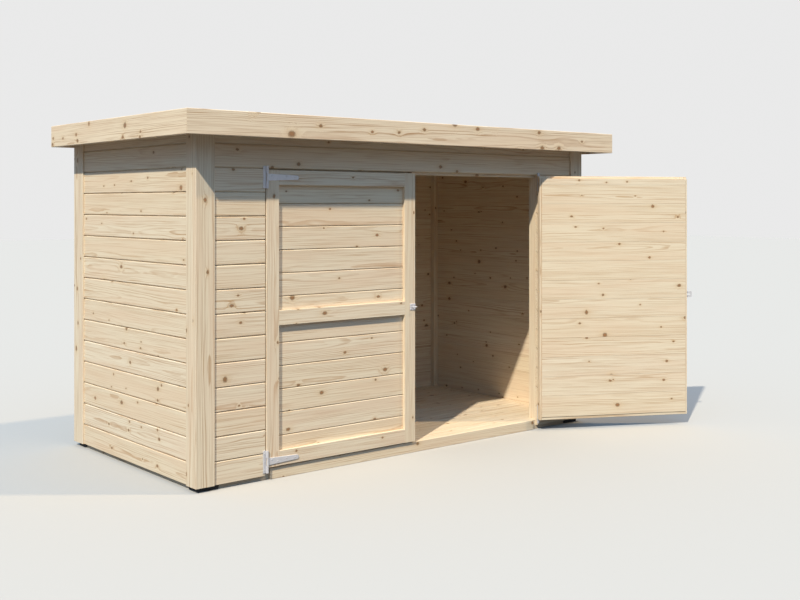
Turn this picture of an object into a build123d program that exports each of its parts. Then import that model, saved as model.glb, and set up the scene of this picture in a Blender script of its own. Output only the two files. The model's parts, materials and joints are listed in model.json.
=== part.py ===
# Timber bike shelter: horizontal boarded walls on studs, rebated corner trims,
# a low mono-pitch roof inside a level fascia, and a pair of framed board doors.
# Millimetres. X runs along the front, Y to the back, Z up from the ground.
# The origin is on the ground under the middle of the walls.

from build123d import *
from math import radians, tan
import os

# Overall size over the corner trims and to the top of the fascia
wall_length = 2275
wall_depth = 1158
shelter_height = 1500

# Clearances
door_gap = 5
meeting_gap = 10
strap_air = 0.5
leaf_air = 0.75
pin_clearance = 0.05

# Cladding boards and their V joints
board_thickness = 18
board_pitch = 97.5
header_height = 120
groove_width = 6
groove_depth = 3

# Corner trims, rebated over the board ends
trim_proud = 7
front_trim_width = 86
front_side_trim_width = 54
back_side_trim_width = 98.5
back_trim_width = 63
board_bearing = 16

# Studs and plates
post_size = 30
stud_depth = 30
stud_width = 44
plate_height = 45
lintel_height = 45
back_stud_spacing = 744

# Base: pads, sills, joists and floor boards
pad_length = 95
pad_width = 75
pad_height = 20
pad_inset = 20
sill_width = 45
sill_height = 48
threshold_thickness = 12
threshold_setback = 27
floor_thickness = 16
floor_joist_width = 45
floor_joist_bays = 4

# Roof
side_overhang = 104
front_overhang = 118
fascia_height = 98
fascia_thickness = 20
fascia_upstand = 8
back_board_thickness = 16
back_board_height = 110
roof_slope = 2.5
deck_thickness = 16
felt_thickness = 3
joist_width = 35
joist_height = 45
joist_bays = 3

# Doorway and door leaves
doorway_width = 1626
stop_width = 12
frame_width = 62
frame_thickness = 16
frame_proud = 3
door_board_thickness = 16
door_board_pitch = 96.45
door_first_board = 120.5
door_board_rise = 15
door_open_angle = 152.5

# Strap hinges
hinge_plate_width = 15
hinge_plate_height = 92
hinge_steel = 3
barrel_radius = 4
barrel_inset = 3
barrel_air = 0.5
hinge_pin_radius = 2
strap_knuckle_height = 31
strap_length = 156
strap_root = 30
strap_tip = 19
lower_hinge_rise = 25
upper_hinge_drop = 30

# Hasp and staple
latch_rise = 3
latch_steel = 2
staple_plate_width = 32
staple_plate_height = 29
eye_rod_radius = 2
eye_spacing = 18
eye_reach = 22
eye_setback = 11
hasp_leaf_height = 30
hasp_leaf_thickness = 2.5
hasp_overhang = 41
hasp_axis_setback = 12
hasp_slot_clearance = 2.5
hasp_base_width = 34

# Faces that the pieces share
trim_x = wall_length / 2
trim_y = wall_depth / 2
board_x = trim_x - trim_proud
board_y = trim_y - trim_proud
stud_x = board_x - board_thickness
stud_y = board_y - board_thickness
wall_bottom = pad_height
jamb_x = doorway_width / 2
door_edge = jamb_x - door_gap
frame_face = board_y + frame_proud
frame_back = frame_face - frame_thickness
fascia_x = trim_x + side_overhang
fascia_front = -(trim_y + front_overhang)
fascia_bottom = shelter_height - fascia_height
doorway_top = fascia_bottom - header_height
door_bottom = sill_height + door_gap
door_top = doorway_top - door_gap
lintel_bottom = doorway_top - stop_width
threshold_x = jamb_x - threshold_setback
mid_rail_centre = (door_bottom + door_top) / 2
latch_height = mid_rail_centre + latch_rise
deck_x = fascia_x - fascia_thickness
deck_front = fascia_front + fascia_thickness
roof_back = trim_y + back_board_thickness
hinge_x = door_edge - barrel_inset
hinge_y = -(frame_face + barrel_air + barrel_radius)


def deck_underside(y):
    """Height of the roof boards' underside at a distance y from the middle."""
    front = shelter_height - fascia_upstand - felt_thickness - deck_thickness
    return front - (y - deck_front) * tan(radians(roof_slope))


def joist_underside(y):
    return deck_underside(y) - joist_height


def block(x, y, z):
    """A squared timber between two limits on each axis."""
    size = (x[1] - x[0], y[1] - y[0], z[1] - z[0])
    centre = ((x[0] + x[1]) / 2, (y[0] + y[1]) / 2, (z[0] + z[1]) / 2)
    return Pos(*centre) * Box(*size)


def along_x(outline, x):
    """A section drawn as (y, z) points and run from x[0] to x[1]."""
    face = Plane.YZ.offset(x[0]) * make_face(Polyline(*outline, close=True))
    return extrude(face, amount=x[1] - x[0])


def along_y(outline, y):
    """A section drawn as (x, z) points and run from y[0] to y[1]."""
    face = Plane.XZ.offset(-y[1]) * make_face(Polyline(*outline, close=True))
    return extrude(face, amount=y[1] - y[0])


def upright(outline, z):
    """A plan drawn as (x, y) points and raised from z[0] to z[1]."""
    face = Plane.XY.offset(z[0]) * make_face(Polyline(*outline, close=True))
    return extrude(face, amount=z[1] - z[0])


def mirrored(solid):
    """The same piece on the right hand side."""
    return mirror(solid, about=Plane.YZ)


def turned(solid):
    """The same piece at the front of the building, sent to the back."""
    return mirror(solid, about=Plane.XZ)


def above(height_at):
    """Everything above a sloping plane of the roof, to trim wall pieces to it."""
    low = -2 * wall_depth
    high = 2 * wall_depth
    top = 2 * shelter_height
    outline = [(low, height_at(low)), (high, height_at(high)), (high, top), (low, top)]
    return along_x(outline, (-wall_length, wall_length))


above_deck = above(deck_underside)
above_joists = above(joist_underside)


def boarding(depth_out, depth_in, z, joints):
    """Section of boards with a V at each joint of the outer face, as (depth, z) points."""
    outline = [(depth_in, z[0]), (depth_out, z[0])]
    inward = groove_depth if depth_in > depth_out else -groove_depth
    for joint in joints:
        if z[0] + groove_width < joint < z[1] - groove_width:
            outline += [
                (depth_out, joint - groove_width / 2),
                (depth_out + inward, joint),
                (depth_out, joint + groove_width / 2),
            ]
    return outline + [(depth_out, z[1]), (depth_in, z[1])]


rows = int(shelter_height / board_pitch) + 1
wall_joints = [doorway_top + row * board_pitch for row in range(-rows, rows)]
first_door_joint = door_bottom + door_first_board
door_joints = [first_door_joint + row * door_board_pitch for row in range(rows)]
wall_end = stud_x - post_size + board_bearing
side_end = stud_y - post_size + board_bearing


# Base
def corner_pads():
    x = (-trim_x + pad_inset, -trim_x + pad_inset + pad_length)
    y = (-trim_y + pad_inset, -trim_y + pad_inset + pad_width)
    pad = block(x, y, (0, pad_height))
    pair = [pad, mirrored(pad)]
    return pair + [turned(piece) for piece in pair]


pad_inner_x = trim_x - pad_inset - pad_length
pad_inner_y = trim_y - pad_inset - pad_width


def sill():
    outline = [
        (-stud_x, pad_height),
        (-pad_inner_x, pad_height),
        (-pad_inner_x, 0),
        (pad_inner_x, 0),
        (pad_inner_x, pad_height),
        (stud_x, pad_height),
        (stud_x, sill_height),
        (-stud_x, sill_height),
    ]
    return along_y(outline, (-stud_y, -stud_y + sill_width))


def front_sill():
    """The sill with a threshold board on its face in the doorway."""
    y = (-stud_y - threshold_thickness, -stud_y)
    return sill() + block((-threshold_x, threshold_x), y, (0, sill_height))


def side_sills():
    end = stud_y - sill_width
    outline = [
        (-end, pad_height),
        (-pad_inner_y, pad_height),
        (-pad_inner_y, 0),
        (pad_inner_y, 0),
        (pad_inner_y, pad_height),
        (end, pad_height),
        (end, sill_height),
        (-end, sill_height),
    ]
    left = along_x(outline, (-stud_x, -stud_x + sill_width))
    return [left, mirrored(left)]


def floor_joists():
    end = stud_y - sill_width
    first = -pad_inner_x + door_gap + floor_joist_width / 2
    joists = []
    for bay in range(floor_joist_bays + 1):
        middle = first * (1 - 2 * bay / floor_joist_bays)
        x = (middle - floor_joist_width / 2, middle + floor_joist_width / 2)
        joists.append(block(x, (-end, end), (0, sill_height - floor_thickness)))
    return joists


def floor_deck():
    end = stud_y - sill_width
    top = sill_height
    outline = [(end, top - floor_thickness), (end, top)]
    joints = int(2 * end / board_pitch)
    for row in range(1, joints + 1):
        joint = end - row * board_pitch
        if joint > groove_width - end:
            outline += [
                (joint + groove_width / 4, top),
                (joint, top - groove_depth / 2),
                (joint - groove_width / 4, top),
            ]
    outline += [(-end, top), (-end, top - floor_thickness)]
    return along_x(outline, (-stud_x + sill_width, stud_x - sill_width))


# Studs and plates
def corner_posts():
    x = (-stud_x, -stud_x + post_size)
    front = block(x, (-stud_y, -stud_y + post_size), (sill_height, shelter_height)) - front_plate()
    front -= above_joists
    back = block(x, (stud_y - post_size, stud_y), (sill_height, shelter_height)) - back_plate()
    back -= above_joists
    return [front, mirrored(front), back, mirrored(back)]


def plate(y):
    outline = [
        (y[0], joist_underside(y[0]) - plate_height),
        (y[1], joist_underside(y[0]) - plate_height),
        (y[1], joist_underside(y[1])),
        (y[0], joist_underside(y[0])),
    ]
    return along_x(outline, (-stud_x, stud_x))


def front_plate():
    return plate((-stud_y, -stud_y + stud_depth))


def back_plate():
    return plate((stud_y - stud_depth, stud_y))


def below(plate_at):
    return joist_underside(plate_at) - plate_height


def jamb_studs():
    z = (sill_height, below(-stud_y))
    left = block((-jamb_x - stud_width, -jamb_x), (-stud_y, -stud_y + stud_width), z)
    return [left, mirrored(left)]


def door_lintel():
    z = (lintel_bottom, lintel_bottom + lintel_height)
    return block((-jamb_x, jamb_x), (-stud_y, -stud_y + stud_depth), z)


def back_wall_studs():
    y = (stud_y - stud_depth, stud_y)
    z = (sill_height, below(y[0]))
    left = (-back_stud_spacing - stud_width) / 2
    stud = block((left, left + stud_width), y, z)
    return [stud, mirrored(stud)]


# Cladding
def side_wall_cladding():
    section = boarding(-board_x, -stud_x, (wall_bottom, shelter_height), wall_joints)
    return along_y(section, (-side_end, side_end)) - above_deck


def front_cladding():
    section = boarding(-board_y, -stud_y, (wall_bottom, doorway_top), wall_joints)
    return along_x(section, (-wall_end, -jamb_x))


def header_cladding():
    section = boarding(-board_y, -stud_y, (doorway_top, shelter_height), wall_joints)
    return along_x(section, (-wall_end, wall_end)) - above_joists


def back_wall_cladding():
    section = boarding(board_y, stud_y, (wall_bottom, shelter_height), wall_joints)
    return along_x(section, (-wall_end, wall_end)) - above_joists


# Corner trims
def front_trims():
    plan = [
        (-trim_x, -trim_y),
        (-trim_x + front_trim_width, -trim_y),
        (-trim_x + front_trim_width, -board_y),
        (-wall_end, -board_y),
        (-wall_end, -stud_y),
        (-trim_x, -stud_y),
    ]
    left = upright(plan, (wall_bottom, shelter_height)) - above_joists
    return [left, mirrored(left)]


def front_side_trims():
    plan = [
        (-trim_x, -stud_y),
        (-stud_x, -stud_y),
        (-stud_x, -side_end),
        (-board_x, -side_end),
        (-board_x, -stud_y + front_side_trim_width),
        (-trim_x, -stud_y + front_side_trim_width),
    ]
    left = upright(plan, (wall_bottom, shelter_height)) - above_deck
    return [left, mirrored(left)]


def back_side_trims():
    plan = [
        (-trim_x, trim_y),
        (-trim_x, trim_y - back_side_trim_width),
        (-board_x, trim_y - back_side_trim_width),
        (-board_x, side_end),
        (-stud_x, side_end),
        (-stud_x, trim_y),
    ]
    left = upright(plan, (wall_bottom, shelter_height)) - above_deck
    return [left, mirrored(left)]


def back_trims():
    plan = [
        (-stud_x, trim_y),
        (-stud_x, stud_y),
        (-wall_end, stud_y),
        (-wall_end, board_y),
        (-stud_x + back_trim_width, board_y),
        (-stud_x + back_trim_width, trim_y),
    ]
    left = upright(plan, (wall_bottom, shelter_height)) - above_joists
    return [left, mirrored(left)]


# Roof
def roof_joists():
    y = (deck_front, trim_y)
    outline = [
        (y[0], joist_underside(y[0])),
        (y[1], joist_underside(y[1])),
        (y[1], deck_underside(y[1])),
        (y[0], deck_underside(y[0])),
    ]
    first = -stud_x + joist_width / 2
    joists = []
    for bay in range(joist_bays + 1):
        middle = first * (1 - 2 * bay / joist_bays)
        joists.append(along_x(outline, (middle - joist_width / 2, middle + joist_width / 2)))
    return joists


def roof_deck():
    low = [(deck_front, deck_underside(deck_front))]
    joint = deck_front + board_pitch
    while joint < trim_y - groove_width:
        low += [
            (joint - groove_width / 2, deck_underside(joint - groove_width / 2)),
            (joint, deck_underside(joint) + groove_depth),
            (joint + groove_width / 2, deck_underside(joint + groove_width / 2)),
        ]
        joint += board_pitch
    high = [
        (trim_y, deck_underside(trim_y)),
        (trim_y, deck_underside(trim_y) + deck_thickness),
        (deck_front, deck_underside(deck_front) + deck_thickness),
    ]
    return along_x(low + high, (-deck_x, deck_x))


def roof_felt():
    y = (deck_front, roof_back)
    outline = [
        (y[0], deck_underside(y[0]) + deck_thickness),
        (y[1], deck_underside(y[1]) + deck_thickness),
        (y[1], deck_underside(y[1]) + deck_thickness + felt_thickness),
        (y[0], deck_underside(y[0]) + deck_thickness + felt_thickness),
    ]
    return along_x(outline, (-deck_x, deck_x))


def front_fascia():
    plan = [
        (-fascia_x, fascia_front),
        (fascia_x, fascia_front),
        (deck_x, deck_front),
        (-deck_x, deck_front),
    ]
    return upright(plan, (fascia_bottom, shelter_height))


def side_fascia():
    plan = [
        (-fascia_x, fascia_front),
        (-deck_x, deck_front),
        (-deck_x, roof_back),
        (-fascia_x, roof_back),
    ]
    return upright(plan, (fascia_bottom, shelter_height))


def back_roof_board():
    top = deck_underside(roof_back) + deck_thickness
    outline = [
        (trim_y, top - back_board_height),
        (roof_back, top - back_board_height),
        (roof_back, top),
        (trim_y, deck_underside(trim_y) + deck_thickness),
    ]
    board = along_x(outline, (-deck_x, deck_x))
    corner = block((-deck_x, -stud_x), (trim_y, roof_back), (top - back_board_height, fascia_bottom))
    return board - corner - mirrored(corner)


# Doors, drawn shut for the left leaf
def door_stiles():
    y = (-frame_face, -frame_back)
    z = (door_bottom, door_top)
    hinge_side = block((-door_edge, -door_edge + frame_width), y, z)
    lock_side = block((-meeting_gap / 2 - frame_width, -meeting_gap / 2), y, z)
    return hinge_side, lock_side


def door_rail(middle):
    x = (-door_edge + frame_width, -meeting_gap / 2 - frame_width)
    z = (middle - frame_width / 2, middle + frame_width / 2)
    return block(x, (-frame_face, -frame_back), z)


def door_boards():
    z = (door_bottom + door_board_rise, lintel_bottom - door_gap)
    section = boarding(-frame_back, -frame_back + door_board_thickness, z, door_joints)
    return along_x(section, (-door_edge, -meeting_gap / 2 - stop_width))


strap_heights = [door_bottom + lower_hinge_rise, door_top - upper_hinge_drop]


def knuckle(z):
    """A length of hinge barrel on the left leaf's hinge line."""
    size = z[1] - z[0]
    return Pos(-hinge_x, hinge_y, (z[0] + z[1]) / 2) * Cylinder(barrel_radius, size)


def hinge_plates():
    """Wall plates with the outer knuckles and the pin."""
    plates = []
    for middle in strap_heights:
        half = hinge_plate_height / 2
        inner = strap_knuckle_height / 2 + strap_air
        edge = -door_edge - barrel_air
        x = (edge - hinge_plate_width, edge)
        plate_solid = block(x, (-board_y - hinge_steel, -board_y), (middle - half, middle + half))
        pin = Pos(-hinge_x, hinge_y, middle) * Cylinder(hinge_pin_radius, 2 * half)
        for z in [(middle - half, middle - inner), (middle + inner, middle + half)]:
            bend = block((edge - hinge_steel, edge), (hinge_y, -board_y), z)
            curl = block((edge - hinge_steel, -hinge_x), (hinge_y, -frame_face - barrel_air), z)
            plate_solid += knuckle(z) + bend + curl
        plates.append(plate_solid + pin)
    return plates


def hinge_straps():
    straps = []
    for middle in strap_heights:
        end = -hinge_x + strap_length - strap_tip / 2
        outline = Polyline(
            (end, middle + strap_tip / 2),
            (-hinge_x, middle + strap_root / 2),
            (-hinge_x, middle - strap_root / 2),
            (end, middle - strap_tip / 2),
        )
        tip = ThreePointArc(
            (end, middle - strap_tip / 2),
            (end + strap_tip / 2, middle),
            (end, middle + strap_tip / 2),
        )
        face = Plane.XZ.offset(frame_face) * make_face([outline, tip])
        half = strap_knuckle_height / 2
        strap = extrude(face, amount=hinge_steel) + knuckle((middle - half, middle + half))
        bore = Cylinder(hinge_pin_radius + pin_clearance, strap_knuckle_height)
        straps.append(strap - Pos(-hinge_x, hinge_y, middle) * bore)
    return straps


def door_staple():
    """Plate on the left leaf's lock stile with the padlock eye standing out of it."""
    edge = -meeting_gap / 2
    plate_z = (latch_height - staple_plate_height / 2, latch_height + staple_plate_height / 2)
    base = block((edge - staple_plate_width, edge), (-frame_face - latch_steel, -frame_face), plate_z)
    x = edge - eye_setback
    foot = -frame_face
    crown = foot - eye_reach + eye_spacing / 2 + eye_rod_radius
    half = eye_spacing / 2
    path = Polyline((x - half, foot, latch_height), (x - half, crown, latch_height))
    path += ThreePointArc(
        (x - half, crown, latch_height),
        (x, crown - half, latch_height),
        (x + half, crown, latch_height),
    )
    path += Polyline((x + half, crown, latch_height), (x + half, foot, latch_height))
    section = Plane((x - half, foot, latch_height), z_dir=(0, -1, 0)) * Circle(eye_rod_radius)
    return base + sweep(section, path=path)


def hasp_base():
    """Base plate and outer knuckles of the hasp, drawn on the shut right leaf."""
    axis_x = meeting_gap / 2 + hasp_axis_setback
    half = hasp_leaf_height / 2
    z = (latch_height - half, latch_height + half)
    start = axis_x + barrel_radius + leaf_air
    base = block((start, axis_x + hasp_base_width), (-frame_face - latch_steel, -frame_face), z)
    third = hasp_leaf_height / 3
    for span in [(z[0], z[0] + third - strap_air), (z[1] - third + strap_air, z[1])]:
        middle = (span[0] + span[1]) / 2
        base += block((axis_x, start), (hinge_y, -frame_face), span)
        base += Pos(axis_x, hinge_y, middle) * Cylinder(barrel_radius, span[1] - span[0])
    return base + Pos(axis_x, hinge_y, latch_height) * Cylinder(hinge_pin_radius, hasp_leaf_height)


def hasp_leaf():
    """Slotted leaf that closes over the eye, drawn on the shut right leaf."""
    axis_x = meeting_gap / 2 + hasp_axis_setback
    half = hasp_leaf_height / 2
    y = (hinge_y - hasp_leaf_thickness / 2, hinge_y + hasp_leaf_thickness / 2)
    tip = meeting_gap / 2 - hasp_overhang
    root = axis_x - barrel_radius - leaf_air
    leaf = block((tip, root), y, (latch_height - half, latch_height + half))
    knuckle_height = hasp_leaf_height / 3
    leaf += block(
        (root, axis_x), y, (latch_height - knuckle_height / 2, latch_height + knuckle_height / 2)
    )
    leaf += Pos(axis_x, hinge_y, latch_height) * Cylinder(barrel_radius, knuckle_height)
    leaf -= Pos(axis_x, hinge_y, latch_height) * Cylinder(
        hinge_pin_radius + pin_clearance, knuckle_height
    )
    slot_x = -meeting_gap / 2 - eye_setback
    slot = Box(
        eye_spacing + 2 * (eye_rod_radius + hasp_slot_clearance),
        4 * hasp_leaf_thickness,
        2 * (eye_rod_radius + hasp_slot_clearance),
    )
    leaf = leaf - Pos(slot_x, hinge_y, latch_height) * slot
    corners = leaf.edges().filter_by(Axis.Y).group_by(Axis.X)[0]
    return fillet(corners, hasp_leaf_height / 5)


hinge_line = Axis((hinge_x, hinge_y, 0), (0, 0, 1))


def opened(solid):
    """A piece of the right leaf, swung from shut to where the leaf stands open."""
    return solid.rotate(hinge_line, door_open_angle)


def right_leaf(solid):
    return opened(mirrored(solid))


os.makedirs("parts", exist_ok=True)


def save(name, pieces):
    """Write one node: a single solid, or like solids that don't touch."""
    shape = pieces if not isinstance(pieces, (list, tuple)) else Compound(children=list(pieces))
    export_step(shape, f"parts/{name}.step")


save("corner_pads", corner_pads())
save("front_sill", front_sill())
save("back_sill", turned(sill()))
save("side_sills", side_sills())
save("floor_joists", floor_joists())
save("floor_deck", floor_deck())

save("corner_posts", corner_posts())
save("front_plate", front_plate())
save("back_plate", back_plate())
save("jamb_studs", jamb_studs())
save("door_lintel", door_lintel())
save("back_wall_studs", back_wall_studs())

save("left_wall_cladding", side_wall_cladding())
save("right_wall_cladding", mirrored(side_wall_cladding()))
save("front_left_cladding", front_cladding())
save("front_right_cladding", mirrored(front_cladding()))
save("header_cladding", header_cladding())
save("back_wall_cladding", back_wall_cladding())
save("front_trims", front_trims())
save("front_side_trims", front_side_trims())
save("back_side_trims", back_side_trims())
save("back_trims", back_trims())

save("roof_joists", roof_joists())
save("roof_deck", roof_deck())
save("roof_felt", roof_felt())
save("front_fascia", front_fascia())
save("left_fascia", side_fascia())
save("right_fascia", mirrored(side_fascia()))
save("back_roof_board", back_roof_board())

rail_heights = {
    "bottom": door_bottom + frame_width / 2,
    "mid": mid_rail_centre,
    "top": door_top - frame_width / 2,
}
hinge_stile, lock_stile = door_stiles()
leaf_pieces = {
    "door_boards": door_boards(),
    "door_hinge_stile": hinge_stile,
    "door_lock_stile": lock_stile,
    "hinge_straps": hinge_straps(),
}
for place, middle in rail_heights.items():
    leaf_pieces[f"door_{place}_rail"] = door_rail(middle)

for name, pieces in leaf_pieces.items():
    save(f"left_{name}", pieces)
    if isinstance(pieces, list):
        save(f"right_{name}", [right_leaf(piece) for piece in pieces])
    else:
        save(f"right_{name}", right_leaf(pieces))

left_plates = hinge_plates()
save("hinge_plates", left_plates + [mirrored(piece) for piece in left_plates])
save("left_door_staple", door_staple())
save("right_hasp_base", opened(hasp_base()))
save("right_hasp_leaf", opened(hasp_leaf()))
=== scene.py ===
# Timber bike shelter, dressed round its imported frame: planed spruce boards, studs and trims,
# zinc plated strap hinges and hasp, mineral roofing felt. Metres, Z up.

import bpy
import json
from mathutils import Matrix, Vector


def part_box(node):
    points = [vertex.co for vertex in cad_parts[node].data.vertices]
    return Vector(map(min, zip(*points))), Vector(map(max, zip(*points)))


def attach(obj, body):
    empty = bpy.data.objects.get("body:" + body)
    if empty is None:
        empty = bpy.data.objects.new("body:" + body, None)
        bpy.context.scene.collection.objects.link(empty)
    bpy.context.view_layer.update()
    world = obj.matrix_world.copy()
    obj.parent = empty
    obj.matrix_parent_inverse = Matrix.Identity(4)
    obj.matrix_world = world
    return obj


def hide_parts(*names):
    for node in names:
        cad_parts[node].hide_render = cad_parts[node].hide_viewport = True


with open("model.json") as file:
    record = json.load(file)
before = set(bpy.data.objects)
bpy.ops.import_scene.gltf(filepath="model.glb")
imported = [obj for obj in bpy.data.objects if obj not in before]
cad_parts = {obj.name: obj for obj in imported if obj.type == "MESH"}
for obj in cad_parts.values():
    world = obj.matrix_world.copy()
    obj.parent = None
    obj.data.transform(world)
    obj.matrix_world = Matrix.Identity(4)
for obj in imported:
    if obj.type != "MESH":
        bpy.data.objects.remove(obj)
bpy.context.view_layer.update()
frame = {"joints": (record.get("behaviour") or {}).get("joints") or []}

import json
import math
import random

import bmesh
import bpy
from mathutils import Matrix, Vector


# Corner pads
# Four black pads of pressed rubber crumb keep the corners off the wet ground. They are moulded,
# with a soft edge, and lie loose under the sills.
class Shade:
    """A socket of a material, wrapped so that shader maths reads as plain sums."""

    def __init__(self, tree, socket=None):
        self.tree = tree
        self.socket = socket

    def node(self, kind, settings=None, inputs=None, output=0):
        """Adds a node of any kind: its settings first, then the values or links of its sockets."""
        made = self.tree.nodes.new(kind)
        for key, value in (settings or {}).items():
            setattr(made, key, value)
        for key, value in (inputs or {}).items():
            self.feed(made.inputs[key], value)
        return Shade(self.tree, made.outputs[output])

    def feed(self, target, value):
        """Links a wrapped socket to a node's input, or sets the input to a value."""
        if isinstance(value, Shade):
            self.tree.links.new(value.socket, target)
        else:
            target.default_value = value

    def other(self, output):
        """Another output of the node that this socket belongs to."""
        return Shade(self.tree, self.socket.node.outputs[output])

    def maths(self, operation, *terms):
        return self.node("ShaderNodeMath", {"operation": operation}, dict(enumerate(terms)))

    def __add__(self, term):
        return self.maths("ADD", self, term)

    def __radd__(self, term):
        return self.maths("ADD", term, self)

    def __sub__(self, term):
        return self.maths("SUBTRACT", self, term)

    def __rsub__(self, term):
        return self.maths("SUBTRACT", term, self)

    def __mul__(self, term):
        return self.maths("MULTIPLY", self, term)

    def __rmul__(self, term):
        return self.maths("MULTIPLY", term, self)

    def __truediv__(self, term):
        return self.maths("DIVIDE", self, term)

    def __rpow__(self, term):
        return self.maths("POWER", term, self)

    def __gt__(self, term):
        return self.maths("GREATER_THAN", self, term)

    def fraction(self):
        return self.maths("FRACT", self)

    def root(self):
        return self.maths("SQRT", self)

    def eased(self, low, high):
        """0 below low, 1 above high, and a smooth step between them."""
        ranges = {"Value": self, "From Min": low, "From Max": high}
        return self.node("ShaderNodeMapRange", {"interpolation_type": "SMOOTHSTEP"}, ranges)

    def blend(self, first, second):
        """Colour from first to second, each plain or wrapped, as this value goes from 0 to 1."""
        first, second = (
            colour if isinstance(colour, Shade) else (*colour, 1) for colour in (first, second)
        )
        return self.node("ShaderNodeMix", {"data_type": "RGBA"}, {0: self, 6: first, 7: second}, 2)

    def vector(self, x, y, z):
        return self.node("ShaderNodeCombineXYZ", inputs={0: x, 1: y, 2: z})

    def noise(self, place, scale, detail=2.0, roughness=0.5):
        inputs = {"Vector": place, "Scale": scale, "Detail": detail, "Roughness": roughness}
        return self.node("ShaderNodeTexNoise", inputs=inputs)


def new_material(name):
    """A material with its main shader, and a Shade to start its sums from."""
    material = bpy.data.materials.new(name)
    material.use_nodes = True
    shader = material.node_tree.nodes["Principled BSDF"]
    return material, shader, Shade(material.node_tree)


def surface(start, shader, colour, roughness, relief, strength, depth):
    """Feeds a shader its colour and roughness, and a bump from a relief some metres deep."""
    start.feed(shader.inputs["Base Color"], colour)
    start.feed(shader.inputs["Roughness"], roughness)
    bump = {"Strength": strength, "Distance": depth, "Height": relief}
    start.feed(shader.inputs["Normal"], start.node("ShaderNodeBump", inputs=bump))


def placed(name, data):
    """A new object in the scene."""
    made = bpy.data.objects.new(name, data)
    bpy.context.scene.collection.objects.link(made)
    return made


def piece_of(name, mesh, material, node, body="shelter"):
    """One finished piece: its object rides on a body and stands for a plain node of the frame."""
    made = placed(name, mesh)
    mesh.materials.append(material)
    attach(made, body)
    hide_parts(node)


def mesh_of(shape, name):
    """The mesh of a shape that is done."""
    mesh = bpy.data.meshes.new(name)
    shape.to_mesh(mesh)
    shape.free()
    return mesh


def rounded_blocks(blocks, radius):
    """A mesh of blocks with rounded edges, each given by its lowest and highest corner."""
    shape = bmesh.new()
    for low, high in blocks:
        size = Vector(high) - Vector(low)
        middle = (Vector(high) + Vector(low)) / 2
        matrix = Matrix.Translation(middle) @ Matrix.Diagonal((*size, 1))
        bmesh.ops.create_cube(shape, size=1, matrix=matrix)
    bmesh.ops.bevel(shape, geom=shape.edges[:], offset=radius, segments=2, affect="EDGES")
    return mesh_of(shape, "blocks")


def crumb_rubber():
    crumbs, specks = 420, 300
    material, shader, start = new_material("crumb_rubber")
    place = start.node("ShaderNodeTexCoord", output="Object")
    crumb = start.node("ShaderNodeTexVoronoi", inputs={"Vector": place, "Scale": crumbs})
    speck = start.noise(place, specks)
    dark = speck.blend((0.012, 0.012, 0.013), (0.045, 0.045, 0.048))
    surface(start, shader, dark, 0.7 + speck * 0.25, crumb, 0.5, 0.0006)
    return material


pad_length = 0.095
pad_width = 0.075
pad_rounding = 0.0025
pads_low, pads_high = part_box("corner_pads")
pads = []
for x in (pads_low[0], pads_high[0] - pad_length):
    for y in (pads_low[1], pads_high[1] - pad_width):
        pads.append(((x, y, pads_low[2]), (x + pad_length, y + pad_width, pads_high[2])))
pad_blocks = rounded_blocks(pads, pad_rounding)
piece_of("rubber_corner_pads", pad_blocks, crumb_rubber(), "corner_pads")


# Sills and floor joists
# Square spruce timbers under the walls and the floor. The sills reach the ground between the pads
# and are notched over them; the joists run from front to back and carry the floor boards.
GRAIN = "log_place"
TONE = "tone"
fine_arris = 0.0012
plain_arris = 0.0015
timber_yard = random.Random(7243)
log_length = 40
pith_aside = 0.045
pith_near, pith_far = 0.045, 0.13
twist = 0.3
taper = 0.012


def lay(origin, along, out):
    """Where a timber lies: its length, its width and the way its good face looks."""
    along = Vector(along)
    out = Vector(out)
    across = out.cross(along)
    place = Matrix((along, across, out)).transposed().to_4x4()
    place.translation = Vector(origin)
    return place


def squared(width, thickness, arris=fine_arris, low=0.0):
    """Section of a planed timber as (across, out) points, with its four edges eased."""
    high = low + width
    return [
        (low + arris, 0), (high - arris, 0), (high, -arris), (high, arris - thickness),
        (high - arris, -thickness), (low + arris, -thickness), (low, arris - thickness),
        (low, -arris),
    ]


def timber(place, section, start, end, far_section=None):
    """One timber cut from its own place in a log, with ends that may be cut on the slant."""
    start_at = start if callable(start) else lambda across, out: start
    end_at = end if callable(end) else lambda across, out: end
    ends = (section, start_at), (far_section or section, end_at)
    return place, ends


def sawn(timbers):
    """Joins timbers into one mesh that remembers where in the log every point grew."""
    corners, faces, grown, tones = [], [], [], []
    for place, ends in timbers:
        first = len(corners)
        near = ends[0][0]
        count = len(near)
        shift = timber_yard.uniform(0, log_length)
        pith_x = timber_yard.uniform(-pith_aside, pith_aside)
        pith_y = timber_yard.uniform(pith_near, pith_far)
        turn = Matrix.Rotation(timber_yard.uniform(-twist, twist), 2)
        lean = timber_yard.uniform(-taper, taper)
        tone = timber_yard.uniform(0, 1)
        middle = sum(point[0] for point in near) / count
        for section, cut in ends:
            for across, out in section:
                along = cut(across, out)
                corners.append(place @ Vector((along, across, out)))
                ring = turn @ Vector((across - middle + pith_x + lean * along, out + pith_y))
                grown.append((along + shift, ring.x, ring.y))
                tones.append(tone)
        far = first + count
        for index in range(count):
            after = (index + 1) % count
            faces.append((first + index, first + after, far + after, far + index))
        faces.append([far + index for index in range(count)])
        faces.append([first + index for index in reversed(range(count))])
    mesh = bpy.data.meshes.new("timbers")
    mesh.from_pydata([tuple(corner) for corner in corners], [], faces)
    where = mesh.attributes.new(GRAIN, "FLOAT_VECTOR", "POINT")
    where.data.foreach_set("vector", [value for point in grown for value in point])
    mesh.attributes.new(TONE, "FLOAT", "POINT").data.foreach_set("value", tones)
    shape = bmesh.new()
    shape.from_mesh(mesh)
    bmesh.ops.recalc_face_normals(shape, faces=shape.faces)
    shape.to_mesh(mesh)
    shape.free()
    return mesh


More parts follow.
